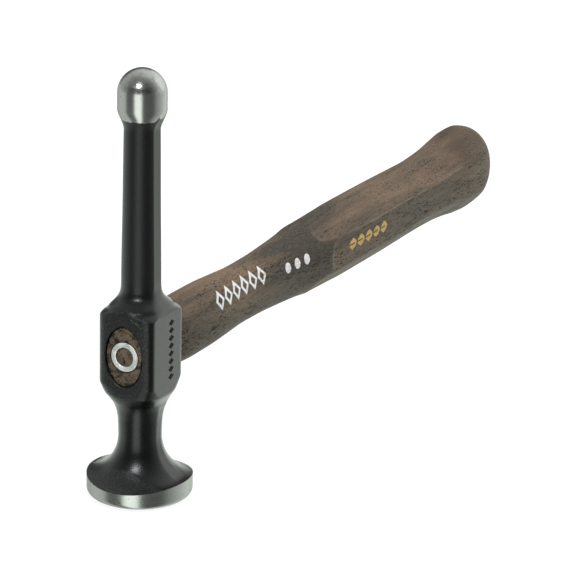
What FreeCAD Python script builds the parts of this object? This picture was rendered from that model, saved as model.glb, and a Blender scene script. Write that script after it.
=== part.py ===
import FreeCAD, Part
import math
import os
import Sketcher
from FreeCAD import Placement, Rotation, Vector

# A panel beater's ball peen hammer. The origin is the middle of the striking face, +Z runs up the
# head to the ball peen, the handle runs away along +Y, and the eye opens to the front at -Y.
# Every size is in millimetres.

SIZES = {
    # striking face, flare and waist; a rise is the height of a stretch above the one below it
    "face_diameter": 38.0,
    "face_edge_radius": 2.1,
    "rim_height": 6.8,
    "waist_diameter": 15.2,
    "waist_rise": 15.2,
    "neck_top_diameter": 20.0,
    "neck_rise": 12.4,
    "neck_arc_radius": 27.0,
    # eye body and its two shoulders
    "lower_shoulder_rise": 6.4,
    "lower_shoulder_taper": 34.0,
    "body_width": 21.8,
    "body_depth": 24.0,
    "body_bevel": 2.3,
    "body_height": 27.0,
    "upper_shoulder_rise": 5.2,
    "upper_shoulder_taper": 42.0,
    "shoulder_top_diameter": 15.6,
    # shaft and ball peen
    "shaft_root_rise": 4.0,
    "shaft_root_diameter": 13.9,
    "shaft_length": 55.6,
    "shaft_tip_diameter": 12.4,
    "ball_skirt_rise": 7.0,
    "ball_side_height": 5.6,
    "ball_diameter": 17.2,
    # the eye narrows to the middle from both faces, and the wood fills it
    "eye_drop": 0.4,
    "eye_mouth_width": 14.8,
    "eye_mouth_height": 22.2,
    "eye_waist_width": 13.4,
    "eye_waist_height": 20.6,
    "wood_recess": 0.7,
    # tapered steel ring driven into the end of the wood
    "ring_outer_diameter": 10.6,
    "ring_bore": 6.9,
    "ring_tip_diameter": 8.6,
    "ring_length": 14.0,
    # handle: a span is the distance from the section before, the first from the back of the head
    "shoulder_span": 8.0,
    "shoulder_width": 17.6,
    "shoulder_height": 24.6,
    "swell_span": 22.0,
    "swell_width": 18.2,
    "swell_height": 25.5,
    "neck_span": 31.0,
    "neck_width": 16.4,
    "neck_height": 23.3,
    "rise_span": 27.0,
    "rise_width": 18.2,
    "rise_height": 25.4,
    "grip_start_span": 30.0,
    "grip_start_width": 23.0,
    "grip_start_height": 30.2,
    "grip_span": 45.0,
    "grip_width": 27.6,
    "grip_height": 33.0,
    "waisted_span": 55.0,
    "waisted_width": 27.2,
    "waisted_height": 32.6,
    "flare_span": 32.0,
    "flare_width": 28.4,
    "flare_height": 36.0,
    "bulb_span": 27.0,
    "bulb_width": 30.8,
    "bulb_height": 41.0,
    "dome_length": 31.0,
    # flats planed along the grip and the bulb: across the sides, across top and bottom, and bevels
    "flats_width": 25.0,
    "flats_height": 31.3,
    "flats_bevel": 9.0,
    "bulb_flats_width": 29.0,
    "bulb_flats_height": 39.4,
    "bulb_flats_bevel": 11.6,
}

# the handle's sections, from the head to the bulb
SECTIONS = ("shoulder", "swell", "neck", "rise", "grip_start", "grip", "waisted", "flare", "bulb")
# the dome's sections lie at these turns, in degrees, from the bulb's widest section
DOME_TURNS = (20, 42, 62, 78, 86)
# and follow a superellipse of this power, a little fuller than an ellipse
DOME_POWER = 2.25


class Size:
    """A number together with the spreadsheet expression that gives it."""

    def __init__(self, value, text):
        self.value = value
        self.text = text

    def __add__(self, other):
        return Size(self.value + other.value, f"({self.text} + {other.text})")

    def __sub__(self, other):
        return Size(self.value - other.value, f"({self.text} - {other.text})")

    def __mul__(self, number):
        return Size(self.value * number, f"({self.text} * {number})")

    def __truediv__(self, number):
        return Size(self.value / number, f"({self.text} / {number})")

    def __neg__(self):
        return Size(-self.value, f"(-{self.text})")


ZERO = Size(0.0, "0")


def size(name):
    """The driving dimension called name."""
    return Size(SIZES[name], "Sizes." + name)


def stack(start, names):
    """Where each of a row of stretches ends, when the first begins at start."""
    ends = []
    for name in names:
        start = start + size(name)
        ends.append(start)
    return ends


def head_levels():
    """Heights up the head where one stretch of it ends and the next begins, by the stretch's name."""
    names = ["rim_height", "waist_rise", "neck_rise", "lower_shoulder_rise", "body_height",
             "upper_shoulder_rise", "shaft_root_rise", "shaft_length", "ball_skirt_rise",
             "ball_side_height"]
    return dict(zip(names, stack(ZERO, names)))


def eye_level():
    """Height of the handle's axis."""
    return head_levels()["lower_shoulder_rise"] + size("body_height") / 2 - size("eye_drop")


def stations():
    """Distances of the handle's sections from the axis of the head, by the section's name."""
    ends = stack(size("body_depth") / 2, [name + "_span" for name in SECTIONS])
    return dict(zip(SECTIONS, ends))


def make_sheet(doc):
    """Write every driving dimension to the spreadsheet, with its name as the alias."""
    sheet = doc.addObject("Spreadsheet::Sheet", "Sizes")
    for row, (name, value) in enumerate(SIZES.items(), start=1):
        sheet.set(f"A{row}", name)
        sheet.set(f"B{row}", str(value))
        sheet.setAlias(f"B{row}", name)
    doc.recompute()


def new_sketch(body, name, role):
    """A sketch on one of the body's own origin planes."""
    plane = [item for item in body.Origin.OriginFeatures if item.Role == role][0]
    sketch = body.newObject("Sketcher::SketchObject", name)
    sketch.AttachmentSupport = [(plane, "")]
    sketch.MapMode = "FlatFace"
    return sketch


def draw_outline(sketch, corners):
    """Draw a closed outline. Each corner is (across, up, arc), where arc is None for a straight
    edge to the next corner, or (radius, side): the signed side the arc's centre lies on."""
    count = len(corners)
    points = [Vector(across.value, up.value, 0) for across, up, _ in corners]
    for index, (_, _, arc) in enumerate(corners):
        start, end = points[index], points[(index + 1) % count]
        if arc is None:
            sketch.addGeometry(Part.LineSegment(start, end))
            continue
        radius, side = arc
        half = (end - start) / 2
        left = Vector(-half.y, half.x, 0) / half.Length
        offset = max(radius.value**2 - half.Length**2, 0.0) ** 0.5
        centre = start + half + left * offset * side
        middle = centre - left * radius.value * side
        sketch.addGeometry(Part.Arc(start, middle, end))
    ends = []
    for index, (_, _, arc) in enumerate(corners):
        counter_clockwise = arc is None or arc[1] > 0
        ends.append((1, 2) if counter_clockwise else (2, 1))
    for index, (across, up, arc) in enumerate(corners):
        after = (index + 1) % count
        first, last = ends[index][0], ends[index][1]
        sketch.addConstraint(Sketcher.Constraint("Coincident", index, last, after, ends[after][0]))
        for kind, distance in (("DistanceX", across), ("DistanceY", up)):
            number = sketch.addConstraint(
                Sketcher.Constraint(kind, -1, 1, index, first, distance.value)
            )
            sketch.setExpression(f"Constraints[{number}]", distance.text)
        if arc is not None:
            number = sketch.addConstraint(Sketcher.Constraint("Radius", index, arc[0].value))
            sketch.setExpression(f"Constraints[{number}]", arc[0].text)


def revolve(body, name, corners):
    """Turn an outline of (radius, height) corners about the vertical axis."""
    sketch = new_sketch(body, name + "Outline", "XZ_Plane")
    draw_outline(sketch, corners)
    turned = body.newObject("PartDesign::Revolution", name)
    turned.Profile = sketch
    turned.ReferenceAxis = (sketch, ["V_Axis"])
    turned.Angle = 360
    sketch.Visibility = False
    return turned


def octagon(width, depth, bevel):
    """Corners of a rectangle with four bevelled corners, as draw_outline takes them."""
    x, y = width / 2, depth / 2
    inner_x, inner_y = x - bevel, y - bevel
    ring = [
        (inner_x, -y), (x, -inner_y), (x, inner_y), (inner_x, y),
        (-inner_x, y), (-x, inner_y), (-x, -inner_y), (-inner_x, -y),
    ]
    return [(across, up, None) for across, up in ring]


def pad_body(body, name, level, length, taper, reverse):
    """Pad the eye body's outline from a level, with its walls tapering in."""
    sketch = new_sketch(body, name + "Outline", "XY_Plane")
    sketch.setExpression("AttachmentOffset.Base.z", level.text)
    draw_outline(sketch, octagon(size("body_width"), size("body_depth"), size("body_bevel")))
    pad = body.newObject("PartDesign::Pad", name)
    pad.Profile = sketch
    pad.setExpression("Length", length.text)
    if taper is not None:
        pad.setExpression("TaperAngle", (-taper).text)
    pad.Reversed = reverse
    sketch.Visibility = False
    return pad


def ellipse_at(doc, name, station, width, height):
    """An upright oval across the handle's axis, at a distance from the axis of the head."""
    oval = doc.addObject("Part::Ellipse", name)
    long_axis, short_axis, normal = Vector(0, 0, 1), Vector(1, 0, 0), Vector(0, 1, 0)
    oval.Placement = Placement(Vector(0, 0, 0), Rotation(long_axis, short_axis, normal, "XYZ"))
    oval.setExpression("MajorRadius", (height / 2).text)
    oval.setExpression("MinorRadius", (width / 2).text)
    oval.setExpression("Placement.Base.y", station.text)
    oval.setExpression("Placement.Base.z", eye_level().text)
    return oval


def loft(doc, name, sections, ruled):
    """A solid through a row of sections."""
    solid = doc.addObject("Part::Loft", name)
    solid.Sections = sections
    solid.Solid = True
    solid.Ruled = ruled
    return solid


def combine(doc, kind, name, shapes):
    """Fuse or intersect several solids."""
    result = doc.addObject(kind, name)
    result.Shapes = shapes
    result.Refine = True
    return result


def make_forging(doc):
    """Head without its eye: turned stem, then the eye body and its two shoulders."""
    body = doc.addObject("PartDesign::Body", "HeadForging")
    face_radius = size("face_diameter") / 2
    edge = size("face_edge_radius")
    waist = size("waist_diameter") / 2
    levels = head_levels()
    # the flare's arc leaves the waist upright and ends on the rim
    drop, spread = size("waist_rise"), face_radius - waist
    flare = Size(
        (spread.value**2 + drop.value**2) / (2 * spread.value),
        f"(({spread.text} * {spread.text} + {drop.text} * {drop.text}) / (2 * {spread.text}))",
    )
    ball = size("ball_diameter") / 2
    shoulder = size("shoulder_top_diameter") / 2
    root = size("shaft_root_diameter") / 2
    tip = size("shaft_tip_diameter") / 2
    revolve(body, "Stem", [
        (ZERO, ZERO, None),
        (face_radius - edge, ZERO, (edge, 1)),
        (face_radius, edge, None),
        (face_radius, levels["rim_height"], (flare, -1)),
        (waist, levels["waist_rise"], (size("neck_arc_radius"), -1)),
        (size("neck_top_diameter") / 2, levels["neck_rise"], None),
        (shoulder, levels["body_height"], None),
        (shoulder, levels["upper_shoulder_rise"], None),
        (root, levels["shaft_root_rise"], None),
        (tip, levels["shaft_length"], None),
        (ball, levels["ball_skirt_rise"], None),
        (ball, levels["ball_side_height"], (ball, 1)),
        (ZERO, levels["ball_side_height"] + ball, None),
    ])
    bottom, top = levels["lower_shoulder_rise"], levels["body_height"]
    pad_body(body, "EyeBody", bottom, size("body_height"), None, False)
    pad_body(body, "UpperShoulder", top, size("upper_shoulder_rise"),
             size("upper_shoulder_taper"), False)
    last = pad_body(body, "LowerShoulder", bottom, size("lower_shoulder_rise"),
                    size("lower_shoulder_taper"), True)
    body.Tip = last
    return body


def make_eye(doc, name, front):
    """The space in the eye, waisted in the middle, from the plane y = front to the back face."""
    half_depth = size("body_depth") / 2
    mouth_width, mouth_height = size("eye_mouth_width"), size("eye_mouth_height")
    waist_width, waist_height = size("eye_waist_width"), size("eye_waist_height")
    mouth_front = ellipse_at(doc, name + "Front", -half_depth, mouth_width, mouth_height)
    waist = ellipse_at(doc, name + "Waist", ZERO, waist_width, waist_height)
    mouth_back = ellipse_at(doc, name + "Back", half_depth, mouth_width, mouth_height)
    halves = [loft(doc, name + "FrontHalf", [mouth_front, waist], True),
              loft(doc, name + "BackHalf", [waist, mouth_back], True)]
    whole = combine(doc, "Part::MultiFuse", name, halves)
    if front is None:
        return whole
    keep = doc.addObject("Part::Box", name + "Keep")
    keep.setExpression("Length", mouth_width.text)
    keep.setExpression("Height", mouth_height.text)
    keep.setExpression("Width", (size("body_depth") - front).text)
    keep.setExpression("Placement.Base.x", (-mouth_width / 2).text)
    keep.setExpression("Placement.Base.y", (front - half_depth).text)
    keep.setExpression("Placement.Base.z", (eye_level() - mouth_height / 2).text)
    return combine(doc, "Part::MultiCommon", name + "Cut", [whole, keep])


def make_head(doc):
    """The forging with its eye cut through from front to back."""
    head = doc.addObject("Part::Cut", "hammer_head")
    head.Base = make_forging(doc)
    head.Tool = make_eye(doc, "Eye", None)
    return head


def make_ring(doc):
    """Tapered ring wedge: its thick end is level with the end of the wood."""
    body = doc.addObject("PartDesign::Body", "ring_wedge")
    bore = size("ring_bore") / 2
    revolve(body, "Ring", [
        (bore, ZERO, None),
        (size("ring_outer_diameter") / 2, ZERO, None),
        (size("ring_tip_diameter") / 2, size("ring_length"), None),
        (bore, size("ring_length"), None),
    ])
    body.Placement = Placement(Vector(0, 0, 0), Rotation(Vector(1, 0, 0), -90))
    body.setExpression("Placement.Base.y", (size("wood_recess") - size("body_depth") / 2).text)
    body.setExpression("Placement.Base.z", eye_level().text)
    return body


def make_blank(doc):
    """The oval blank of the handle behind the head, closed by a dome."""
    places = stations()
    ovals = [ellipse_at(doc, "BlankSeat", size("body_depth") / 2, size("eye_mouth_width"),
                        size("eye_mouth_height"))]
    for name in SECTIONS:
        ovals.append(ellipse_at(doc, "Blank_" + name, places[name], size(name + "_width"),
                                size(name + "_height")))
    for turn in DOME_TURNS:
        turned = math.radians(turn)
        along = math.sin(turned) ** (2 / DOME_POWER)
        across = math.cos(turned) ** (2 / DOME_POWER)
        ovals.append(ellipse_at(doc, f"Dome_{turn}", places["bulb"] + size("dome_length") * along,
                                size("bulb_width") * across, size("bulb_height") * across))
    tip = doc.addObject("Part::Vertex", "DomeTip")
    tip.setExpression("Y", (places["bulb"] + size("dome_length")).text)
    tip.setExpression("Z", eye_level().text)
    return loft(doc, "Blank", ovals + [tip], False)


def make_flats(doc):
    """An eight-sided bar that follows the grip: what stands out of it is planed away."""
    grip = octagon(size("flats_width"), size("flats_height"), size("flats_bevel"))
    bulb = octagon(size("bulb_flats_width"), size("bulb_flats_height"), size("bulb_flats_bevel"))
    places = stations()
    beyond = places["bulb"] + size("dome_length") * 2
    rows = [(ZERO, grip), (places["grip"], grip), (places["waisted"], grip),
            (places["bulb"], bulb), (beyond, bulb)]
    outlines = []
    for number, (station, corners) in enumerate(rows):
        sketch = doc.addObject("Sketcher::SketchObject", f"Flats_{number}")
        sketch.Placement = Placement(Vector(0, 0, 0), Rotation(Vector(1, 0, 0), 90))
        draw_outline(sketch, corners)
        sketch.setExpression("Placement.Base.y", station.text)
        sketch.setExpression("Placement.Base.z", eye_level().text)
        outlines.append(sketch)
    return loft(doc, "Flats", outlines, False)


def make_handle(doc, ring):
    """The wood: a tenon that fills the eye, and the shaped handle behind the head."""
    tenon = make_eye(doc, "Tenon", size("wood_recess"))
    grip = combine(doc, "Part::MultiCommon", "Grip", [make_blank(doc), make_flats(doc)])
    wood = combine(doc, "Part::MultiFuse", "HandleWood", [tenon, grip])
    handle = doc.addObject("Part::Cut", "handle")
    handle.Base = wood
    handle.Tool = ring
    return handle


def check(doc, parts):
    """Stop if any feature failed or any sub-part isn't one good solid."""
    failed = [item.Name for item in doc.Objects
              if "Invalid" in item.State or "Error" in item.State]
    if failed:
        raise RuntimeError("these features failed: " + ", ".join(failed))
    for part in parts:
        if part.Shape.isNull() or not part.Shape.isValid() or len(part.Shape.Solids) != 1:
            raise RuntimeError(part.Label + " is not one valid solid")


def main():
    doc = FreeCAD.newDocument("PanelHammer")
    make_sheet(doc)
    head = make_head(doc)
    ring = make_ring(doc)
    handle = make_handle(doc, ring)
    parts = [head, handle, ring]
    doc.recompute()
    check(doc, parts)
    os.makedirs("parts", exist_ok=True)
    for part in parts:
        part.Shape.exportStep(os.path.join("parts", part.Label + ".step"))
        box = part.Shape.BoundBox
        print(part.Label, round(part.Shape.Volume), "mm3", [round(v, 2) for v in (
            box.XMin, box.XMax, box.YMin, box.YMax, box.ZMin, box.ZMax)])


main()
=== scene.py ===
import math

import bpy
import numpy as np
from bpy.props import FloatProperty, FloatVectorProperty, PointerProperty
from mathutils import Matrix, Vector


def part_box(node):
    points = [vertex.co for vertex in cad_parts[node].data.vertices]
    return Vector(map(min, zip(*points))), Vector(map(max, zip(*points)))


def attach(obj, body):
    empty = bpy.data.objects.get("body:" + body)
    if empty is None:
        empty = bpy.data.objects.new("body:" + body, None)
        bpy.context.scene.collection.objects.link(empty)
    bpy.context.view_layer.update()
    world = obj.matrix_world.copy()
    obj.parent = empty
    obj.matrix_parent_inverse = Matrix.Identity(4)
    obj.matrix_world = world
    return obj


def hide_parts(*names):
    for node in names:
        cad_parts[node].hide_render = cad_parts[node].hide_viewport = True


bl_info = {
    "name": "Ball peen body hammer",
    "version": (1, 0, 0),
    "blender": (4, 5, 0),
    "location": "3D View > Sidebar > Hammer",
    "description": "A forged ball peen hammer head on a smoked hickory handle, with its studio",
    "category": "Add Mesh",
}

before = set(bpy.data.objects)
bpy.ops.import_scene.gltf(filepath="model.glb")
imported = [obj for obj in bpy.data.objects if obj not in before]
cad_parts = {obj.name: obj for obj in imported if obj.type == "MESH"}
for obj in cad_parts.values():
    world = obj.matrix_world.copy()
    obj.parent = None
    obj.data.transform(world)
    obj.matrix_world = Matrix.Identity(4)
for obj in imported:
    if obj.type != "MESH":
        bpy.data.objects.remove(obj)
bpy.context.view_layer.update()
HEAD_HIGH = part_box("hammer_head")[1]
RING_LOW, RING_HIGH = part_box("ring_wedge")
WOOD_LOW, WOOD_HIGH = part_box("handle")

MM = 0.001

# Heights and lengths in millimetres: the middle line of the handle, the highest point of the ball,
# the front of the body round the eye, the radius of the shaft under the ball and the length of the
# rounded end of the handle.
AXIS = (WOOD_LOW.z + WOOD_HIGH.z) / 2 / MM
BALL_TOP = HEAD_HIGH.z / MM
EYE_BODY_FRONT = -12.0
STEM_RADIUS = 6.3
DOME_LENGTH = 30

# Level directions from the head: towards the camera and to its right.
TO_CAMERA = Vector((0.4341, -0.9009, 0.0))
TO_RIGHT = Vector((0.9009, 0.4341, 0.0))


# ---- sizes and colours -------------------------------------------------------------------------


def length(label, metres, text):
    """A length that the user may change, in metres."""
    return FloatProperty(name=label, description=text, default=metres, unit="LENGTH", precision=5)


def tint(label, colour, text):
    """A colour that the user may change."""
    return FloatVectorProperty(name=label, description=text, default=colour, subtype="COLOR",
                               size=3, min=0.0, max=1.0)


class HeadSizes(bpy.types.PropertyGroup):
    """Sizes of the forged head."""

    face_radius: length("Face radius", HEAD_HIGH.x, "Radius of the round striking face")
    edge_radius: length("Edge radius", 0.0021, "Rounding between the striking face and its rim")
    rim_height: length("Rim height", 0.0057, "Height of the ground rim at the front and back")
    rim_rise: length("Rim rise", 0.00205, "How much higher the ground rim stands at the sides")
    waist_radius: length("Waist radius", 0.00775, "Radius of the neck where it is thinnest")
    waist_height: length("Waist height", 0.022, "Height of the thinnest part of the neck")
    cheek_half_width: length("Cheek", 0.0109, "From the middle of the head to its flat cheeks")
    ball_radius: length("Ball radius", 0.0086, "Radius of the ball peen")


class HandleSizes(bpy.types.PropertyGroup):
    """Sizes of the wooden handle."""

    side_flat: length("Side flats", 0.0125, "From the middle of the grip to its side flats")
    top_flat: length("Top flats", 0.0156, "From the middle of the grip to its top and bottom flats")
    bevel_flat: length("Bevel flats", 0.01343, "From the middle of the grip to its bevels")
    gap: length("Eye gap", 0.0002, "Play between the end of the wood and the wall of the eye")


class Finishes(bpy.types.PropertyGroup):
    """Colours of the finishes."""

    lacquer: tint("Lacquer", (0.0030, 0.0038, 0.0038), "Black lacquer on the forging")
    steel: tint("Steel", (0.350, 0.350, 0.342), "Bare ground steel")
    hickory: tint("Hickory", (0.182, 0.144, 0.102), "Smoked hickory, its middle tone")
    # This colour is also the painted top light on the handle's upward faces.
    brown_grain_and_painted_top_light: tint("Brown grain", (0.254, 0.168, 0.107), "Smoked hickory, top and bottom")
    dark_grain: tint("Dark grain", (0.050, 0.045, 0.036), "Smoked hickory, its darkest bands")
    print_white: tint("White print", (0.93, 0.93, 0.91), "Printed border marks")
    print_gold: tint("Gold print", (0.66, 0.43, 0.13), "Printed leaf border")


# ---- surfaces ----------------------------------------------------------------------------------


def smooth_least(a, b, reach):
    """The lesser of a and b, with the corner between them rounded over a difference of reach."""
    share = np.clip(0.5 + 0.5 * (b - a) / reach, 0.0, 1.0)
    return b + (a - b) * share - reach * share * (1.0 - share)


def ease(values, start, end):
    """0 before start and 1 after end, with an S-shaped rise 3t^2 - 2t^3 between them."""
    t = np.clip((np.asarray(values, float) - start) / (end - start), 0.0, 1.0)
    return t * t * (3.0 - 2.0 * t)


def flow(at, along, values):
    """A smooth line through values at the places along: cubic pieces whose slope at each place is
    the harmonic mean of the slopes on its two sides, so that the line never overshoots."""
    along = np.asarray(along, float)
    values = np.asarray(values, float)
    step = np.diff(along)
    slope = np.diff(values) / step
    product = slope[:-1] * slope[1:]
    total = np.where(product > 0, slope[:-1] + slope[1:], 1.0)
    inner = np.where(product > 0, 2.0 * product / total, 0.0)
    rate = np.concatenate([slope[:1], inner, slope[-1:]])
    i = np.clip(np.searchsorted(along, at) - 1, 0, len(step) - 1)
    t = np.clip((at - along[i]) / step[i], 0.0, 1.0)
    start = values[i] * (1 + 2 * t) * (1 - t) ** 2 + rate[i] * step[i] * t * (1 - t) ** 2
    end = values[i + 1] * t * t * (3 - 2 * t) - rate[i + 1] * step[i] * t * t * (1 - t)
    return start + end


def superellipse(angle, half_width, half_height, power):
    """Distance from the middle to |x/a|^n + |y/b|^n = 1 in the direction of angle."""
    across = np.abs(np.cos(angle)) / half_width
    up = np.abs(np.sin(angle)) / half_height
    return (across**power + up**power) ** (-1.0 / power)


def round_the_circle(quarter):
    """Angles all round, in rows, from the angles of a quarter turn: the quarter, then its mirror
    image, then both again half a turn further on."""
    right = np.full(quarter.shape[:-1] + (1,), math.pi / 2)
    half = np.concatenate([quarter, right, math.pi - quarter[..., :0:-1]], axis=-1)
    return np.concatenate([half, half + math.pi], axis=-1)


def add_piece(name, rows, ends, material, slot, shares=None):
    """A closed piece from rings of points (rows, columns, xyz) in millimetres: each ring joins the
    next by four-sided faces, and fans close the first and last ring to the two points in ends.
    With ends None, the last ring joins the first. Shares are more values for each point by name."""
    count, columns = rows.shape[:2]
    points = rows.reshape(-1, 3)
    index = np.arange(count * columns).reshape(count, columns)
    rings = index if ends is None else index[:-1]
    above = np.roll(index, -1, axis=0) if ends is None else index[1:]
    quads = np.stack([rings, np.roll(rings, -1, 1), np.roll(above, -1, 1), above], -1)
    faces = quads.reshape(-1, 4).tolist()
    if ends is not None:
        points = np.concatenate([points, np.array(ends, float)])
        first, last = index[0], index[-1]
        low = np.full(columns, count * columns)
        faces += np.stack([np.roll(first, -1), first, low], -1).tolist()
        faces += np.stack([last, np.roll(last, -1), low + 1], -1).tolist()
    mesh = bpy.data.meshes.new(name)
    mesh.from_pydata((points * MM).tolist(), [], faces)
    for share, values in (shares or {}).items():
        full = np.zeros(len(points), np.float32)
        full[: count * columns] = values.ravel()
        mesh.attributes.new(share, "FLOAT", "POINT").data.foreach_set("value", full)
    mesh.shade_smooth()
    mesh.update()
    piece = bpy.data.objects.new(name, mesh)
    bpy.context.scene.collection.objects.link(piece)
    if material is not None:
        mesh.materials.append(material)
    if slot is not None:
        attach(piece, "root")
    return piece


# ---- shaders -----------------------------------------------------------------------------------


class Wire:
    """One socket of a node tree. A sum, product or comparison of wires and numbers adds its Math
    nodes to the tree."""

    def __init__(self, tree, socket):
        self.tree = tree
        self.socket = socket

    def node(self, kind, settings=None, inputs=None, output=0):
        """Adds a node of this kind: its settings first, then the values or wires of its sockets.
        The setting "stops" fills a colour ramp with pairs of a place and a grey."""
        made = self.tree.nodes.new(kind)
        for name, value in (settings or {}).items():
            if name == "stops":
                stops = made.color_ramp.elements
                while len(stops) < len(value):
                    stops.new(1.0)
                for stop, (place, grey) in zip(stops, value):
                    stop.position = place
                    stop.color = (grey, grey, grey, 1.0)
            else:
                setattr(made, name, value)
        for name, value in (inputs or {}).items():
            if isinstance(value, Wire):
                self.tree.links.new(value.socket, made.inputs[name])
            else:
                made.inputs[name].default_value = value
        return Wire(self.tree, made.outputs[output] if made.outputs else None)

    def math(self, operation, *values):
        """One Math node on these values."""
        return self.node("ShaderNodeMath", {"operation": operation}, dict(enumerate(values)))

    def __add__(self, other):
        return self.math("ADD", self, other)

    def __radd__(self, other):
        return self.math("ADD", other, self)

    def __sub__(self, other):
        return self.math("SUBTRACT", self, other)

    def __rsub__(self, other):
        return self.math("SUBTRACT", other, self)

    def __mul__(self, other):
        return self.math("MULTIPLY", self, other)

    def __rmul__(self, other):
        return self.math("MULTIPLY", other, self)

    def __truediv__(self, other):
        return self.math("DIVIDE", self, other)

    def __pow__(self, other):
        return self.math("POWER", self, other)

    def __abs__(self):
        return self.math("ABSOLUTE", self)

    def __lt__(self, other):
        return self.math("LESS_THAN", self, other)

    def __gt__(self, other):
        return self.math("GREATER_THAN", self, other)

    def root(self):
        return self.math("SQRT", self)

    def sine(self):
        return self.math("SINE", self)

    def fraction(self):
        return self.math("FRACT", self)

    def least(self, other):
        return self.math("MINIMUM", self, other)

    def most(self, other):
        return self.math("MAXIMUM", self, other)

    def rise(self, start, end):
        """0 at start and 1 at end, smooth and held flat outside them."""
        return self.node("ShaderNodeMapRange", {"interpolation_type": "SMOOTHSTEP"},
                         {"Value": self, "From Min": start, "From Max": end})

    def stretch(self, scale, shift=(0.0, 0.0, 0.0)):
        """The place, scaled along each axis and shifted."""
        return self.node("ShaderNodeMapping", None,
                         {"Vector": self, "Scale": scale, "Location": shift})

    def shift(self, by):
        """The place, shifted."""
        return self.stretch((1.0, 1.0, 1.0), by)

    def cloud(self, scale, detail=2.0, rough=0.5):
        """Soft noise over the place, about 0.3 to 0.7."""
        return self.node("ShaderNodeTexNoise", None, {
            "Vector": self, "Scale": scale, "Detail": detail, "Roughness": rough})

    def blend(self, first, second):
        """The first colour where this is 0 and the second where it is 1."""
        first, second = [colour if isinstance(colour, Wire) else (*colour, 1.0)
                         for colour in (first, second)]
        return self.node("ShaderNodeMix", {"data_type": "RGBA"}, {0: self, 6: first, 7: second}, 2)


def scaled(colour, factor):
    """A colour made lighter or darker by a factor."""
    return [part * factor for part in colour]


def parts_of(place):
    """The three coordinates of a place."""
    return [place.node("ShaderNodeSeparateXYZ", None, {0: place}, output) for output in range(3)]


def joined(place, x, y, z):
    """A place from three coordinates."""
    return place.node("ShaderNodeCombineXYZ", None, {0: x, 1: y, 2: z})


def new_material(name):
    """An empty material, and its place in millimetres on Object coordinates."""
    material = bpy.data.materials.new(name)
    material.use_nodes = True
    tree = material.node_tree
    tree.nodes.clear()
    place = Wire(tree, tree.nodes.new("ShaderNodeTexCoord").outputs["Object"])
    place = place.node("ShaderNodeVectorMath", {"operation": "SCALE"},
                       {0: place, "Scale": 1.0 / MM})
    return material, place


def finish_material(place, height, depth, inputs):
    """Puts a Principled shader on the material, with a Bump of this height and depth in metres."""
    normal = place.node("ShaderNodeBump", None,
                        {"Height": height, "Distance": depth, "Strength": 1.0})
    shader = place.node("ShaderNodeBsdfPrincipled", None, {**inputs, "Normal": normal})
    place.node("ShaderNodeOutputMaterial", None, {"Surface": shader})


def lozenge(across, up, half_width, half_height):
    """1 inside a lozenge round the origin."""
    return (abs(across) / half_width + abs(up) / half_height) < 1.0


def every(value, start, pitch):
    """Distance from the middle of the nearest of a row of marks."""
    return ((value - start) / pitch).fraction() * pitch - pitch / 2


def brushed(place):
    """Fine lines round the head's axis: noise on a cylinder, drawn out round it."""
    x, y, z = parts_of(place)
    reach = (x * x + y * y + 0.01).root()
    round_it = joined(place, x / reach * 1.2, y / reach * 1.2, z * 4.0 + reach * 4.0)
    return round_it.cloud(1.0, 6.0, 0.75)


def bare_metal(place):
    """1 where the head is ground bare: below the rim's upper line, which runs higher at the sides
    and waves a little, and above the ragged line under the ball, which is stepped at the sides."""
    x, y, z = parts_of(place)
    side = (x * x / (x * x + y * y + 0.001)).least(0.963)
    rim_line = 5.7 + 2.05 * side + (place.cloud(0.9, 3.0) - 0.5) * 0.16
    band = abs(y)
    beside = abs(x) > 4.0
    hump = (1.0 - abs(band - 2.3).rise(0.0, 1.1)) * beside
    ball_line = 136.35 + hump * 1.5 + (1.0 - band.rise(1.6, 2.4)) * beside * 0.7
    ball_line = ball_line + (place.cloud(1.3, 3.0) - 0.5) * 0.9
    return (z < rim_line).most(z > ball_line)


def punched_marks(place):
    """1 inside the small lozenges punched down one cheek."""
    x, y, z = parts_of(place)
    start, end, pitch, across = 43.2, 66.0, 2.85, 2.4
    mark = lozenge(every(z, start, pitch), y - across, 1.25, 2.0)
    return (x > 10.0) * mark * (z > start) * (z < end)


def worn_edge_and_painted_glint(place):
    """1 on the worn upper edge in front of the eye, a thin broken line that slopes sideways: worn
    paint, and a painted highlight where the lamp catches the edge.
    """
    x, y, z = parts_of(place)
    broken = place.shift((5.0, 1.0, 3.0)).cloud(1.0, 4.0).rise(0.44, 0.60)
    near = 1.0 - abs(z + x * 0.5 - 69.6).rise(0.1, 0.55)
    return broken * (y < -10.5) * (abs(x - 6.2) < 3.2) * near


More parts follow.
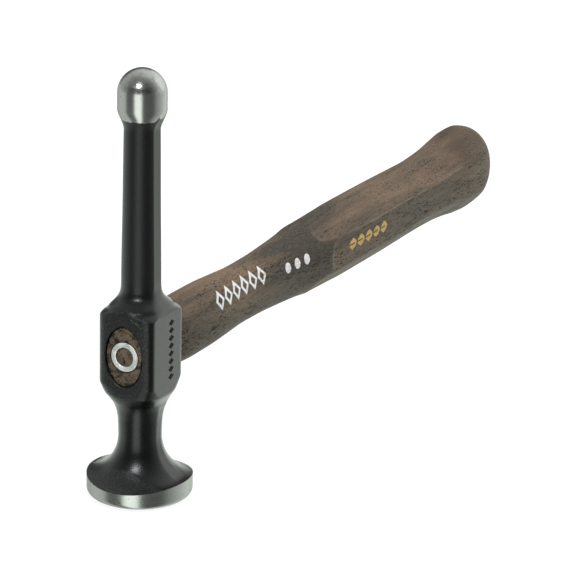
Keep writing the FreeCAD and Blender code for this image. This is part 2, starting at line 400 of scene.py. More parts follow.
def forged_finish(colours):
    """Black lacquer over forged steel, with the rim, the face and the ball ground bare. The lacquer
    has a fine orange peel, pale mottling that is strongest round the eye, thin spots, and a worn
    upper edge in front of the eye that is also a painted highlight. Its skin is rougher at the
    front and back of the eye and duller up the shaft. The bare steel has fine turned lines and a
    few pits. The ball is smoother than the rim, and not quite even near its top."""
    material, place = new_material("black lacquer and ground steel")
    x, y, z = parts_of(place)
    bare = bare_metal(place)
    punched = punched_marks(place)
    skin = place.cloud(1.6, 4.0, 0.6)
    peel = place.cloud(3.4, 2.0, 0.5)
    lines = brushed(place)
    eye_face = abs(y).rise(10.6, 11.6)
    ball = (z > 120.0) * 1.0
    pits = (place.shift((7.0, 3.0, 1.0)).cloud(1.3, 1.0) > 0.728) * bare

    thin = (place.cloud(0.8, 5.0, 0.7) > 0.665) * (1.0 - bare)
    bloom = place.cloud(1.9, 4.0, 0.65).rise(0.50, 0.66) * (0.025 + eye_face * 0.17)
    lacquer = skin.rise(0.3, 0.7).blend(colours.lacquer, scaled(colours.lacquer, 1.35))
    lacquer = (punched * 0.75).blend(lacquer, (0.003, 0.003, 0.003))
    lacquer = (thin * 0.08).blend(lacquer, (0.20, 0.20, 0.19))
    lacquer = bloom.blend(lacquer, (0.20, 0.21, 0.22))
    # A thin pale line on the upper front edge: worn paint, and a painted highlight where the lamp
    # catches the edge.
    lacquer = (worn_edge_and_painted_glint(place) * 0.6).blend(lacquer, (0.30, 0.31, 0.32))
    steel = lines.rise(0.30, 0.72).blend(scaled(colours.steel, 0.90), colours.steel)
    steel = (pits * 0.85).blend(steel, (0.05, 0.045, 0.04))

    steel_rough = 0.24 + (lines - 0.5) * 0.16 - ball * 0.01
    paint_rough = 0.29 + (peel - 0.5) * 0.14 + eye_face * 0.08 + punched * 0.7
    paint_rough = paint_rough + z.rise(72.0, 82.0) * 0.14
    rough = paint_rough + (steel_rough - paint_rough) * bare

    uneven = place.cloud(0.33, 2.0) * (z > 146.5) * 3.0
    ground = (lines * (0.22 - ball * 0.12) + uneven) * bare
    painted = (1.0 - bare) * (peel * 0.12 + skin * (0.45 + eye_face * 2.6))
    height = ground + painted - punched * 3.2 - pits * 0.8
    finish_material(place, height, 0.00006, {
        "Base Color": bare.blend(lacquer, steel),
        "Metallic": bare,
        "Roughness": rough,
        "IOR": 1.6,
        "Specular Tint": (0.5, 0.5, 0.5, 1.0),
    })
    return material


def ring_finish(colours):
    """Steel ring, cut square and filed: coarse scratches across the end and a dull tube wall."""
    material, place = new_material("filed steel ring")
    scratches = place.stretch((2.2, 1.0, 0.35)).cloud(1.6, 5.0, 0.7)
    smear = place.shift((3.0, 1.0, 9.0)).cloud(0.45, 3.0).rise(0.35, 0.65)
    colour = smear.blend(scaled(colours.steel, 1.7), scaled(colours.steel, 2.3))
    finish_material(place, scratches, 0.00005, {
        "Base Color": colour,
        "Metallic": 1.0,
        "Roughness": 0.50 + (scratches - 0.5) * 0.3,
    })
    return material


def end_grain(place):
    """The wood's cut end in the eye: mottled and a little darker towards its edge, with fine pores,
    a short crack below the middle and a dark stain round the ring. Gives its colour, the mottling
    and the crack."""
    x, y, z = parts_of(place)
    mottle = place.cloud(0.42, 6.0, 0.72)
    edge = ((x * 0.12) ** 2.0 + ((z - AXIS) * 0.0755) ** 2.0).rise(0.45, 1.0)
    cut = (mottle - edge * 0.10).rise(0.38, 0.58)
    cut = cut.blend((0.034, 0.027, 0.018), (0.27, 0.21, 0.145))
    fine_pores = place.stretch((1.0, 0.3, 1.0)).cloud(3.2, 2.0) > 0.62
    cut = fine_pores.blend(cut, (0.02, 0.016, 0.011))
    crack = abs(x + 0.2 + (mottle - 0.5) * 1.6) < 0.13
    crack = crack * (z < AXIS - 0.2) * (z > AXIS - 3.2)
    cut = crack.blend(cut, (0.008, 0.007, 0.006))
    stain = (1.0 - abs(x * x + (z - AXIS) ** 2.0 - 31.0).rise(1.0, 4.0)) * 0.7
    return stain.blend(cut, (0.016, 0.013, 0.010)), mottle, crack


def printed_marks(place):
    """The marks printed on one side of the handle: 1 inside the white ones, a row of outlined
    lozenges and three dots, and 1 inside the gold ones, five leaves with a vein in each."""
    x, y, z = parts_of(place)
    facing = x > 3.0
    start, end, middle = 40.6, 82.8, 60.4
    along = every(y, start, 7.05)
    row = lozenge(along, z - middle, 3.3, 3.6) * (1.0 - lozenge(along, z - middle, 1.7, 1.8))
    row = facing * row * (y > start) * (y < end)
    start, end, middle = 95.7, 117.5, 58.4
    dots = every(y, start, 7.3) ** 2.0 + (z - middle) ** 2.0 < 4.4
    white = row.most(facing * dots * (y > start) * (y < end))
    start, end, middle = 149.0, 187.0, 55.2
    along, up = every(y, start, 7.6), z - middle
    leaf = (abs(along) / 3.3 + (up / 2.6) ** 2.0) < 1.0
    vein = (abs(up) < 0.34) * (along < 1.6)
    return white, facing * leaf * (1.0 - vein) * (y > start) * (y < end)


def hickory_finish(colours):
    """Smoked and oiled hickory with its grain along the handle: broad bands from growth rings round
    an axis beside the handle, short dark pores gathered in those bands and longer ones on the
    sides, a fine stipple and fine fibres. The wood is painted browner and lighter where it faces
    up, as painted top light, and it is smokier on the swell where no flat was planed. The ridges
    are worn pale, the top of the bulb is darkened as painted shade and its domed end is lightened
    as painted light, and chips show behind the head. The eye holds end grain, and one side
    carries the printed marks."""
    material, place = new_material("smoked hickory")
    x, y, z = parts_of(place)
    planed = place.node("ShaderNodeAttribute", {"attribute_name": "planed"}, None, 2)
    ridge = place.node("ShaderNodeAttribute", {"attribute_name": "ridge"}, None, 2)
    normal = place.node("ShaderNodeNewGeometry", None, None, "Normal")
    # Painted top light: 1 where the handle faces up, and those faces are coloured lighter and
    # browner.
    upward_painted_light = parts_of(normal)[2].rise(0.25, 0.55)

    bent = place.stretch((0.05, 0.010, 0.05)).cloud(1.0, 3.0) * 9.0
    beside = joined(place, x + 31.0, 0.0, z - AXIS + 12.0)
    reach = place.node("ShaderNodeVectorMath", {"operation": "LENGTH"}, {0: beside}, 1)
    rings = ((reach + bent) * 0.95).sine() * 0.5 + 0.5
    broad = place.stretch((0.09, 0.011, 0.09)).cloud(1.0, 4.0, 0.55)
    streaks = place.stretch((0.7, 0.02, 0.7), (3.0, 1.0, 2.0)).cloud(1.0, 3.0, 0.6)
    fibres = place.stretch((4.0, 0.14, 4.0)).cloud(1.0, 3.0, 0.6)
    specks = place.stretch((2.6, 0.55, 2.6)).cloud(1.0, 1.0, 0.5)
    dashes = place.stretch((2.6, 0.20, 2.6), (5.0, 2.0, 9.0)).cloud(1.0, 1.0, 0.5)
    crowd = place.stretch((0.13, 0.03, 0.13), (1.0, 9.0, 4.0)).cloud(1.0, 2.0)
    stipple = place.stretch((3.2, 1.1, 3.2), (1.0, 1.0, 8.0)).cloud(1.0, 2.0, 0.6).rise(0.54, 0.66)
    above = abs(z - AXIS).rise(4.0, 13.0)
    dashes = dashes.rise(0.61, 0.67) * (1.0 - above * 0.8) * (0.4 + crowd.rise(0.36, 0.56) * 0.6)
    pores = specks.rise(0.60, 0.67) * (0.15 + rings * 0.35 + crowd.rise(0.42, 0.60) * 0.5)
    pores = pores.most(dashes)

    # Random warm tone, mixed with the painted top light that makes upward faces lighter and
    # browner.
    warm_tone_and_painted_top_light = place.stretch((0.06, 0.014, 0.06), (4.0, 4.0, 4.0)).cloud(1.0, 2.0)
    warm_tone_and_painted_top_light = (upward_painted_light * 0.75 + above * 0.15 + (warm_tone_and_painted_top_light - 0.44) * 1.6).most(0.0).least(1.0)
    dark = (1.0 - broad.rise(0.38, 0.60)) * 0.62 + rings * 0.12
    dark = dark + (1.0 - streaks.rise(0.3, 0.6)) * 0.22
    smoke = (1.0 - abs(y - 120.0).rise(8.0, 56.0)) * (1.0 - abs(z - AXIS - 3.0).rise(8.0, 15.0))
    # The last term makes the domed end less dark: painted light.
    dark = (dark + smoke * (1.0 - planed) * 0.6 - y.rise(305.0, 318.0) * 0.8).most(0.0).least(1.0)
    pale = ((fibres - 0.42).most(0.0) * 1.3).least(1.0)
    worn = place.stretch((0.4, 0.05, 0.4)).cloud(1.0, 3.0).rise(0.35, 0.65)
    worn = ridge * (0.25 + worn * 0.75)
    # Painted shade: the top of the bulb is darkened.
    painted_bulb_top_shade = (1.0 - abs(y - 292.0).rise(8.0, 34.0)) * (z - AXIS).rise(3.0, 14.0)
    chips = place.stretch((1.0, 0.5, 1.0), (2.0, 0.0, 0.0)).cloud(0.8, 2.0) > 0.60
    chips = chips * (y < 19.5) * (z < 57.0)

    # Upward faces take the lighter brown colour: painted top light.
    colour = warm_tone_and_painted_top_light.blend(colours.hickory, colours.brown_grain_and_painted_top_light)
    colour = dark.blend(colour, colours.dark_grain)
    colour = pale.blend(colour, scaled(colours.hickory, 1.4))
    colour = (worn * 0.55).blend(colour, scaled(colours.hickory, 1.9))
    # Painted light: the domed end is lightened.
    colour = (y.rise(299.0, 318.0) * 0.42).blend(colour, scaled(colours.hickory, 1.5))
    # The top of the bulb is darkened here: painted shade.
    colour = (painted_bulb_top_shade * 0.72).blend(colour, scaled(colours.brown_grain_and_painted_top_light, 0.32))
    colour = (stipple * 0.58).blend(colour, colours.dark_grain)
    colour = (pores.most(chips * 0.9) * 0.95).least(1.0).blend(colour, (0.014, 0.012, 0.009))

    end = y < -9.9
    cut, mottle, crack = end_grain(place)
    white, gold = printed_marks(place)
    solid = 1.0 - pores * 0.3
    colour = end.blend(colour, cut)
    colour = (white * solid).blend(colour, colours.print_white)
    colour = (gold * solid).blend(colour, colours.print_gold)
    rough = 0.62 + pores * 0.2 + (fibres - 0.5) * 0.2 - white * 0.08 - gold * 0.12
    height = fibres * 0.5 - pores * 1.3 - crack * 2.0 + end * mottle * 1.5
    height = height + white.most(gold) * 0.1
    finish_material(place, height, 0.00012, {
        "Base Color": colour,
        "Roughness": rough,
        "IOR": 1.45,
        "Specular IOR Level": 0.18,
    })
    return material


# ---- the head ----------------------------------------------------------------------------------


def head_rings(sizes):
    """Rings up the head, from its face to its ball: radius, height, half width of the trimmed band,
    side rise and the share by which the band is cut, for each ring. The flare is a concave arc that
    leaves the waist upright."""
    face, edge = sizes.face_radius / MM, sizes.edge_radius / MM
    rim, rise = sizes.rim_height / MM, sizes.rim_rise / MM
    waist, waist_up = sizes.waist_radius / MM, sizes.waist_height / MM
    ball = sizes.ball_radius / MM
    flat = np.array([1.5, 3.5, 6.0, 8.5, 11.0, 13.0, 14.8, 16.0, face - edge])
    turn = np.linspace(0, math.pi / 2, 9)[1:]
    up = np.linspace(0, 1, 9)[1:]
    bend = 16.9
    last = math.acos((waist + bend - face) / bend)
    arc = np.linspace(last, 0, 64)[1:]
    heights = np.concatenate([np.linspace(a, b, n)[1:] for a, b, n in (
        (waist_up, 34, 25), (34, 43, 50), (43, 65.5, 30), (65.5, 73, 50), (73, 79, 18),
        (79, 131, 40), (131, 141, 28), (141, BALL_TOP - ball, 6))])
    climb = np.linspace(0, math.pi / 2, 30)[1:-1]
    along = (waist_up, 23.5, 28, 31.5, 34.7, 36.2, 36.9, 37.6, 39, 40.4, 42, 44, 54, 64, 66.2, 67.1,
             67.95, 68.8, 69.6, 70.9, 71.9, 73, 74.3, 76, 78, 84, 90, 105, 130, 133, 139.9,
             BALL_TOP)
    reach = (waist, 7.77, 7.95, 8.5, 9.55, 10.42, 10.92, 11.42, 12.55, 13.4, 14.6, 17, 24, 18.5, 16,
             14.5, 13.2, 12, 10.95, 10.05, 9.25, 8.42, 7.67, 7.15, 7.0, 6.93, 6.85, 6.62, 6.35,
             STEM_RADIUS, STEM_RADIUS, STEM_RADIUS)
    stem = flow(heights, along, reach)
    stem = stem + (ball - STEM_RADIUS) * ease(heights, 132.6, 139.9)
    flare = waist + bend * (1 - np.cos(arc))
    radius = np.concatenate([flat, face - edge + edge * np.sin(turn), np.full(8, face), flare, stem,
                             ball * np.cos(climb)])
    height = np.concatenate([np.zeros(9), edge - edge * np.cos(turn), edge + (rim - edge) * up,
                             waist_up - (waist_up - rim) * np.sin(arc) / math.sin(last), heights,
                             BALL_TOP - ball + ball * np.sin(climb)])
    side = np.concatenate([np.zeros(17), rise * up, rise * (flare - waist) / (face - waist),
                           np.zeros(len(heights) + len(climb))])
    half = flow(height,
                (-1, rim, waist_up, 30, 34, 37, 42, 66, 70, 73, 76, 79, 130, 134, 137, BALL_TOP),
                (3.65, 3.65, 1.6, 1.6, 2.2, 3.2, 4, 4, 3.4, 3.0, 2.6, 2.4, 2.4, 2.3, 1.9, 1.6))
    half = np.where(height < waist_up, 1.6 + 2.05 * (radius - waist) / (face - waist), half)
    half = np.clip(half, 0.05, 0.6 * radius)
    cut = (1 - ease(radius, 17.6, face)) * (1 - ease(height, 136.0, 139.0)) * (height > rim)
    return radius, height, half, side, cut


def head_surface(sizes):
    """The head as distance from its axis by angle and ring: the least, with rounded corners, of the
    round stem or its squarer shoulders, the eye body (a superellipse of power 6), the flat cheeks
    and the trimmed band, which is a flat of its own half width. Heights on the face's flare rise
    with the square of the cosine, and are level across the band."""
    radius, height, half, side, cut = [a[:, None] for a in head_rings(sizes)]
    cheek = sizes.cheek_half_width / MM
    in_body = ease(height, 35, 40) * (1 - ease(height, 68.5, 73))
    band_edge = np.arcsin(half / radius)
    edge = band_edge + (math.atan2(9.56, cheek) - band_edge) * in_body
    near = 1 - (1 - np.linspace(0, 1, 23)[:-1]) ** 1.5
    far = np.linspace(0, 1, 35)[:-1] ** 1.35
    quarter = np.concatenate([edge * near, edge + (math.pi / 2 - edge) * far], axis=1)
    angle = round_the_circle(quarter)
    square = ease(radius, 7.6, 10.5) * (height > 25) * (height < 100)
    upper = height > 54
    power = 2 + np.where(upper, 0.4, 0.1) * square
    stem = superellipse(angle, radius, radius * (1 + np.where(upper, 0.11, 0.05) * square), power)
    body = superellipse(angle, 11.45, -EYE_BODY_FRONT, 6.0)
    beside = np.abs(np.cos(angle)).clip(1e-6)
    in_eye = (height > 30) & (height < 80)
    solid = np.where(in_eye, smooth_least(stem, body, np.where(upper, 0.9, 2.6)), stem)
    solid = np.where(in_eye, smooth_least(solid, cheek / beside, 0.28), solid)
    band = np.sqrt(radius**2 - half**2) / beside
    faded = ease(height, 33, 37) * (1 - ease(height, 71, 78))
    trimmed = smooth_least(solid, band, 0.10 + 1.2 * faded)
    distance = solid + (trimmed - solid) * cut
    level = np.minimum(np.cos(angle) ** 2, 1 - (half / radius) ** 2)
    return np.stack([distance * np.cos(angle), distance * np.sin(angle), height + side * level], -1)


def eye_half(along):
    """Half width and half height of the eye at a distance along the handle from the middle of the
    head: least in the middle, growing with the square of the distance to both mouths."""
    share = (np.abs(along) / 12.0) ** 2
    return 6.7 + 0.7 * share, 10.3 + 0.8 * share


def eye_cutter():
    """The space of the eye, a little longer than the head is thick, with both mouths chamfered."""
    columns, beyond, bevel = 128, 12.8, 11.55
    mouth = np.array([bevel, 11.9, 12.05, beyond])
    along = np.concatenate([-mouth[::-1], np.linspace(-11, 11, 23), mouth])
    wide, tall = eye_half(along)
    chamfer = np.clip(np.abs(along) - bevel, 0, None) * 0.8
    angle = np.linspace(0, 2 * math.pi, columns + 1)[:-1]
    x = (wide + chamfer)[:, None] * np.cos(angle)
    z = AXIS + (tall + chamfer)[:, None] * np.sin(angle)
    y = np.repeat(along[:, None], columns, 1)
    rows = np.stack([x, y, z], -1)[::-1]
    return add_piece("eye_cutter", rows, [(0, beyond, AXIS), (0, -beyond, AXIS)], None, None)


class HAMMER_OT_head(bpy.types.Operator):
    """Forges the head: face, flare, waist, eye body, shaft and ball, with the eye cut through it"""

    bl_idname = "hammer.head"
    bl_label = "Forged head"

    def execute(self, context):
        finish = forged_finish(context.scene.hammer_finishes)
        rows = head_surface(context.scene.hammer_head)
        ends = [(0, 0, 0), (0, 0, BALL_TOP)]
        head = add_piece("forged_head", rows, ends, finish, "lacquered_steel")
        cutter = eye_cutter()
        cut = head.modifiers.new("eye", "BOOLEAN")
        cut.operation = "DIFFERENCE"
        cut.solver = "EXACT"
        cut.object = cutter
        depsgraph = context.evaluated_depsgraph_get()
        shaped = bpy.data.meshes.new_from_object(head.evaluated_get(depsgraph), depsgraph=depsgraph)
        head.modifiers.remove(cut)
        if len(shaped.vertices) <= len(head.data.vertices):
            raise RuntimeError("the eye was not cut through the head")
        head.data = shaped
        shaped.name = "forged_head"
        shaped.set_sharp_from_angle(angle=math.radians(32))
        bpy.data.objects.remove(cutter)
        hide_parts("hammer_head")
        return {"FINISHED"}


# ---- the ring ----------------------------------------------------------------------------------


def ring_rows():
    """The ring's wall as a strip with rounded front corners, thinner towards the back, carried
    round the axis."""
    front, back = RING_LOW.y / MM + 0.02, RING_HIGH.y / MM
    outer, tip, bore, soft, columns = 5.3, 4.3, 3.45, 0.22, 144
    turn = np.linspace(0, math.pi / 2, 6)
    sine, cosine = soft * np.sin(turn), soft * np.cos(turn)
    radius = np.concatenate([bore + soft - cosine, outer - soft + sine,
                             np.linspace(outer, tip, 9)[1:], [tip - 0.2, bore + 0.1, bore],
                             np.full(6, bore)])
    y = np.concatenate([front + soft - sine, front + soft - cosine,
                        np.linspace(front + soft, back - 0.3, 9)[1:], [back, back, back - 0.2],
                        np.linspace(back - 0.5, front + 1.0, 6)])
    angle = np.linspace(0, 2 * math.pi, columns + 1)[:-1]
    x = radius[:, None] * np.cos(angle)
    z = AXIS + radius[:, None] * np.sin(angle)
    return np.stack([x, np.repeat(y[:, None], columns, 1), z], -1)


class HAMMER_OT_ring(bpy.types.Operator):
    """Turns the tapered steel ring that is driven into the end of the wood"""

    bl_idname = "hammer.ring"
    bl_label = "Ring wedge"

    def execute(self, context):
        finish = ring_finish(context.scene.hammer_finishes)
        ring = add_piece("steel_ring", ring_rows(), None, finish, "ground_steel")
        ring.data.set_sharp_from_angle(angle=math.radians(40))
        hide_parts("ring_wedge")
        return {"FINISHED"}


# ---- the handle --------------------------------------------------------------------------------


def grip_surface(sizes, along):
    """The handle behind the head: an oval blank, tall along z, whose halves flow through its
    stations and close in a dome of power 2.16, with eight flats planed along it. Each flat begins
    in a scoop, a parabola that runs out through the blank. The edges of the top flats are eased
    more than those of the sides. Gives the angles round the handle, the distance of the surface
    from its middle line, the shares of ridge and of planed flat at each point, and how far the
    middle line is lifted."""
    end = WOOD_HIGH.y / MM
    y = along[:, None]
    stations = (12, 16, 20, 30, 42, 55, 70, 85, 100, 115, 130,
                145, 160, 175, 205, 235, 255, 265, 275, 285, 295, end)
    wide = flow(y, stations, (7.3, 8.0, 8.7, 9.2, 9.2, 8.7, 8.2, 8.4, 9.1, 10.2, 11.8,
                              13.2, 14.1, 14.5, 14.6, 14.5, 14.7, 14.9, 15.3, 15.6, 15.7, 15.7))
    tall = flow(y, stations, (11.0, 11.7, 12.3, 12.76, 12.73, 12.29, 11.65, 11.88, 12.66, 13.65,
                              15.1, 15.2, 16.26, 17.14, 17.2, 17.2, 17.8, 18.62, 19.6, 20.5, 21.0,
                              21.0))
    dome_start = end - DOME_LENGTH
    dome = np.clip((y - dome_start) / (end - dome_start), 0, 1)
    dome = (1 - dome**2.16) ** (1 / 2.16)
    wide, tall = wide * dome, tall * dome
    side = flow(y, (12, 133, 150, 175, 235, 262, 285, end),
                (11.3, 11.3, 12.0, 12.5, 12.5, 13.1, 14.3, 14.6))
    side = side + sizes.side_flat / MM - 12.5 + np.clip(138 - y, 0, None) ** 2 / 26
    top = flow(y, (12, 235, 250, 260, 268, 276, 284, 294, end),
               (15.88, 15.9, 16.04, 16.53, 17.39, 18.28, 19.26, 20.13, 20.3))
    top = top + sizes.top_flat / MM - 15.6 + np.clip(152 - y, 0, None) ** 2 / 60
    bevel = flow(y, (12, 126, 148, 165, 200, 235, 255, 270, 285, end),
                 (12.6, 12.6, 13.25, 13.52, 13.73, 13.54, 14.12, 15.06, 16.49, 16.9))
    bevel = bevel + sizes.bevel_flat / MM - 13.43 + np.clip(128 - y, 0, None) ** 2 / 34
    low, high = np.radians([27.1, 77.0])
    steps = np.linspace(0, 1, 17)[:-1]
    quarter = np.concatenate([
        low * (1 - (1 - steps) ** 1.3),
        low + (high - low) * (0.5 - 0.5 * np.cos(math.pi * np.linspace(0, 1, 23)[:-1])),
        high + (math.pi / 2 - high) * np.linspace(0, 1, 11)[:-1] ** 1.3])
    angle = round_the_circle(quarter)[None, :] + 0 * y
    across, up = np.abs(np.cos(angle)).clip(1e-6), np.abs(np.sin(angle)).clip(1e-6)
    slope = math.radians(44)
    blank = superellipse(angle, wide, tall, 2.08)
    side, top = side / across, top / up
    bevel = bevel / (across * math.cos(slope) + up * math.sin(slope))
    reach = smooth_least(smooth_least(top, bevel, 1.6), side, 0.45)
    ridge = np.exp(-((side - bevel) / 0.28) ** 2) * ease(blank - reach, 0.1, 0.6)
    planed = ease(blank - np.minimum(side, bevel), 0.0, 0.25)
    reach = smooth_least(reach, blank, 0.45 + 0.9 * ease(y, 285, 312))
    lift = flow(y, (12, 45, 235, 262, 285, 312, end), (0, 0.17, 0.17, 0.66, 1.12, 0.15, 0.1))
    return angle, reach, ridge, planed, lift


def tenon_rings(sizes, turn):
    """Rings in the eye at the angles turn, as pairs of distances from the middle line and a place
    along the handle: from the middle of the end face out over the ring's slot to the eye's wall,
    then along the wall to its back mouth."""
    front, slot_back = WOOD_LOW.y / MM, RING_HIGH.y / MM + 0.1

    def circle(radius):
        return np.full_like(turn, radius)

    def oval(y):
        wide, tall = eye_half(y)
        play = sizes.gap / MM * (1 - ease(y, -9, 0)) + 0.03
        return superellipse(turn, wide - play, tall - play, 2.0)

    slot_in, slot_out = 3.38, 5.45
    rings = [(circle(1.2), front + 0.10), (circle(2.3), front + 0.06), (circle(3.1), front + 0.10),
             (circle(slot_in), front + 0.4), (circle(slot_in), front + 5),
             (circle(slot_in), slot_back), (circle(4.35), slot_back),
             (circle(4.40), slot_back - 0.5), (circle(5.36), front + 0.3),
             (circle(slot_out), front + 0.06)]
    edge = oval(front + 0.5)
    for share in (0.2, 0.4, 0.6, 0.8, 0.92):
        radius = slot_out + (edge - 0.35 - slot_out) * share
        rings.append((radius, front + 0.03 + 0.08 * share**3))
    rings += [(edge - 0.16, front + 0.12), (edge - 0.04, front + 0.30), (edge, front + 0.55)]
    return rings + [(oval(y), y) for y in np.linspace(front + 1.2, 12.0, 14)]


def handle_rows(sizes):
    """The whole handle as rings of points, and its shares of ridge and planed flat. In the eye the
    wood leans a little to one side, as the ring forces it."""
    end = WOOD_HIGH.y / MM
    climb = np.linspace(0, math.pi / 2, 40)[1:-1]
    along = np.concatenate([np.linspace(12.5, 40, 24), np.linspace(41, 132, 62),
                            np.linspace(132.7, 180, 80), np.linspace(182, 255, 36),
                            np.linspace(256.5, end - DOME_LENGTH, 26),
                            end - DOME_LENGTH + DOME_LENGTH * np.sin(climb)])
    angle, reach, ridge, planed, lift = grip_surface(sizes, along)
    turn = angle[:1]
    tenon = tenon_rings(sizes, turn)
    radii = np.concatenate([np.concatenate([ring for ring, y in tenon]), reach])
    places = np.concatenate([[y for ring, y in tenon], along])[:, None]
    around = np.repeat(turn, len(radii), 0)
    lean = (1 - ease(places, -10.5, -2)) * (radii > 5.5) * 0.13
    x = radii * np.cos(around) - lean
    z = AXIS + radii * np.sin(around) - lean
    z[len(tenon):] += lift
    rows = np.stack([x, places + 0 * radii, z], -1)[:, ::-1]
    none = np.zeros((len(tenon), turn.shape[1]))
    shares = {name: np.concatenate([none, values])[:, ::-1]
              for name, values in (("ridge", ridge), ("planed", planed))}
    return rows, shares


class HAMMER_OT_handle(bpy.types.Operator):
    """Shapes the handle: its end in the eye with a slot for the ring, the neck, grip and bulb"""

    bl_idname = "hammer.handle"
    bl_label = "Hickory handle"

    def execute(self, context):
        rows, shares = handle_rows(context.scene.hammer_handle)
        ends = [(0, WOOD_LOW.y / MM + 0.1, AXIS), (0, WOOD_HIGH.y / MM, AXIS + 0.1)]
        finish = hickory_finish(context.scene.hammer_finishes)
        handle = add_piece("hickory_handle", rows, ends, finish, "hickory", shares)
        handle.data.set_sharp_from_angle(angle=math.radians(45))
        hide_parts("handle")
        return {"FINISHED"}


# ---- the studio --------------------------------------------------------------------------------


def studio_world():
    """White walls to the eye, and an even soft tent to matt surfaces, brighter above. What shines
    sees a pale table below the horizon, dim in front but for one bright strip beside the camera.
    Above the horizon it sees a ceiling that brightens away from the camera, with a dark gap low
    behind and a wide soft window behind on the right."""
    world = bpy.data.worlds.new("studio")
    bpy.context.scene.world = world
    world.use_nodes = True
    tree = world.node_tree
    tree.nodes.clear()
    look = Wire(tree, tree.nodes.new("ShaderNodeTexCoord").outputs["Generated"])

    def along(direction):
        return look.node("ShaderNodeVectorMath", {"operation": "DOT_PRODUCT"},
                         {0: look, 1: direction}, 1)

    def light(colour, strength):
        return look.node("ShaderNodeBackground", None, {"Color": colour, "Strength": strength})

    front, right, up = along(TO_CAMERA), along(TO_RIGHT), along((0.0, 0.0, 1.0))
    bearing = right.math("ARCTAN2", right, front) / (2 * math.pi) + 0.5
    table = bearing.node("ShaderNodeValToRGB", {"stops": [
        (0.000, 0.66), (0.194, 0.52), (0.278, 0.46), (0.294, 0.34), (0.306, 0.11), (0.405, 0.11),
        (0.416, 1.12), (0.500, 1.12), (0.512, 0.09), (0.650, 0.09), (0.700, 0.26), (0.778, 0.44),
        (0.828, 0.62), (0.875, 0.82), (0.940, 0.82), (1.000, 0.66)]}, {0: bearing})
    window = bearing.rise(0.74, 0.79) * (1.0 - bearing.rise(0.95, 0.99))
    window = window * (1.0 - up.rise(0.62, 0.78))
    ceiling = (1.0 - front.rise(-0.75, 0.92)) * (0.40 + right.rise(-0.6, 0.4) * 0.26) + 0.02
    gap = abs(bearing - 0.5).rise(0.34, 0.42) * (1.0 - up.rise(0.42, 0.62))
    ceiling = (ceiling * (1.0 - gap * 0.85)).most(window * 0.85)
    sky = joined(look, ceiling * 0.97, ceiling, ceiling * 0.975)
    shine = up.rise(0.0, 0.14).blend(joined(look, table * 0.92, table, table * 0.93), sky)
    level = up.rise(-0.35, 0.55) * 0.54 + 0.29
    even = light(joined(look, level, level, level), 1.0)
    rays = look.node("ShaderNodeLightPath", None, None, "Is Camera Ray")
    glossy = look.node("ShaderNodeLightPath", None, None, "Is Glossy Ray")
    lit = look.node("ShaderNodeMixShader", None, {0: glossy, 1: even, 2: light(shine, 2.4)})
    shader = look.node("ShaderNodeMixShader", None,
                       {0: rays, 1: lit, 2: light((1.0, 1.0, 1.0, 1.0), 1.0)})
    look.node("ShaderNodeOutputWorld", None, {"Surface": shader})


def add_panel(name, bearing, height, distance, size, power):
    """A soft light at a bearing to the right of the camera and a height, both in degrees, turned
    towards the head."""
    light = bpy.data.lights.new(name, "AREA")
    light.shape = "RECTANGLE"
    light.size, light.size_y = size
    light.energy = power
    turn, lift = math.radians(bearing), math.radians(height)
    level = TO_CAMERA * math.cos(turn) + TO_RIGHT * math.sin(turn)
    toward = level * math.cos(lift) + Vector((0, 0, math.sin(lift)))
    panel = bpy.data.objects.new(name, light)
    panel.location = Vector((0, 0, 0.08)) + toward * distance
    panel.rotation_mode = "QUATERNION"
    panel.rotation_quaternion = toward.to_track_quat("Z", "Y")
    bpy.context.scene.collection.objects.link(panel)
    return panel


def add_floor():
    """A pale round floor, lit through from below like a light table, so that shadows stay faint."""
    angle = np.linspace(0, 2 * math.pi, 97)[:-1]
    rings = np.array([200.0, 900.0, 2600.0])[:, None]
    x, y = rings * np.cos(angle), rings * np.sin(angle) + 400
    rows = np.stack([x, y, np.full_like(x, -0.3)], -1)
    material, place = new_material("pale floor")
    shade = place.stretch((0.002, 0.002, 0.002)).cloud(1.0, 1.0) * 0.01 + 0.30
    colour = shade.node("ShaderNodeCombineColor", None, {0: shade, 1: shade, 2: shade})
    finish_material(place, shade, 0.0001, {
        "Base Color": colour,
        "Roughness": 0.9,
        "Specular IOR Level": 0.0,
        "Emission Color": (1.0, 1.0, 1.0, 1.0),
        "Emission Strength": 0.82,
    })
    floor = add_piece("pale_floor", rows, [(0, 400, -0.3), (0, 400, -0.35)], material, None)
    floor.visible_glossy = False
    floor.visible_diffuse = False


def add_camera():
    """A long lens a little to the right of the face and above it, with a slight roll."""
    view = bpy.data.cameras.new("camera")
    view.lens = 128.546
    view.sensor_width = 36.0
    view.clip_start = 0.02
    view.clip_end = 20.0
    camera = bpy.data.objects.new("camera", view)
    right = (0.89644613, 0.44223385, 0.02852285)
    up = (-0.15919059, 0.26128891, 0.95204331)
    back = (0.41357307, -0.85799611, 0.3046309)
    turned = Matrix([right, up, back]).transposed().to_4x4()
    camera.matrix_world = Matrix.Translation((0.341065, -0.590172, 0.295025)) @ turned
    bpy.context.scene.collection.objects.link(camera)
    bpy.context.scene.camera = camera


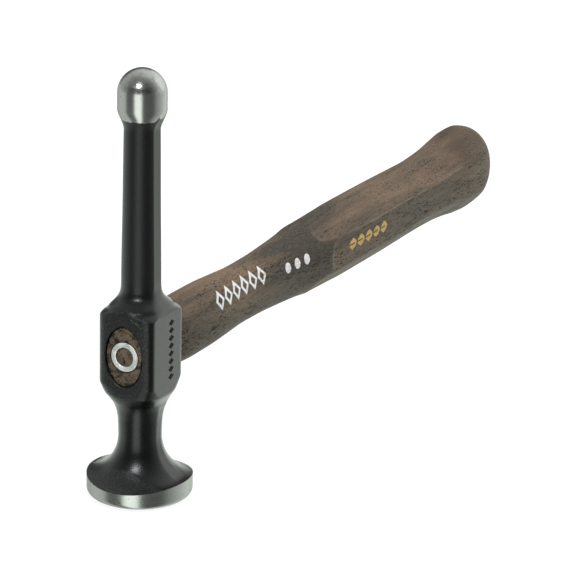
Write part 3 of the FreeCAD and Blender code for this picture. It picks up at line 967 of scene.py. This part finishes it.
class HAMMER_OT_studio(bpy.types.Operator):
    """Sets up the pale floor, the soft lights and the camera"""

    bl_idname = "hammer.studio"
    bl_label = "Studio"

    def execute(self, context):
        context.scene.view_settings.view_transform = "Standard"
        studio_world()
        lamp = add_panel("front_softbox", -17.0, 42.0, 1.4, (0.40, 0.24), 13.0)
        lamp.visible_diffuse = False
        lamp.data.color = (0.92, 0.96, 1.0)
        fill = add_panel("high_fill", 95.0, 55.0, 1.6, (1.2, 1.2), 9.0)
        fill.visible_glossy = False
        add_floor()
        add_camera()
        return {"FINISHED"}


class HAMMER_PT_panel(bpy.types.Panel):
    """Lists the hammer's pieces and their sizes"""

    bl_idname = "HAMMER_PT_panel"
    bl_label = "Ball peen body hammer"
    bl_space_type = "VIEW_3D"
    bl_region_type = "UI"
    bl_category = "Hammer"

    def draw(self, context):
        layout = self.layout
        for group in (context.scene.hammer_head, context.scene.hammer_handle,
                      context.scene.hammer_finishes):
            box = layout.box()
            for name in group.bl_rna.properties.keys():
                if name not in ("rna_type", "name"):
                    box.prop(group, name)
        for operator in (HAMMER_OT_head, HAMMER_OT_ring, HAMMER_OT_handle, HAMMER_OT_studio):
            layout.operator(operator.bl_idname)


CLASSES = (HeadSizes, HandleSizes, Finishes, HAMMER_OT_head, HAMMER_OT_ring, HAMMER_OT_handle,
           HAMMER_OT_studio, HAMMER_PT_panel)


def register():
    for made in CLASSES:
        bpy.utils.register_class(made)
    bpy.types.Scene.hammer_head = PointerProperty(type=HeadSizes)
    bpy.types.Scene.hammer_handle = PointerProperty(type=HandleSizes)
    bpy.types.Scene.hammer_finishes = PointerProperty(type=Finishes)


def unregister():
    del bpy.types.Scene.hammer_finishes
    del bpy.types.Scene.hammer_handle
    del bpy.types.Scene.hammer_head
    for made in reversed(CLASSES):
        bpy.utils.unregister_class(made)


def main():
    """Makes the studio and every piece."""
    register()
    bpy.ops.hammer.studio()
    bpy.ops.hammer.head()
    bpy.ops.hammer.ring()
    bpy.ops.hammer.handle()


if __name__ == "__main__":
    main()
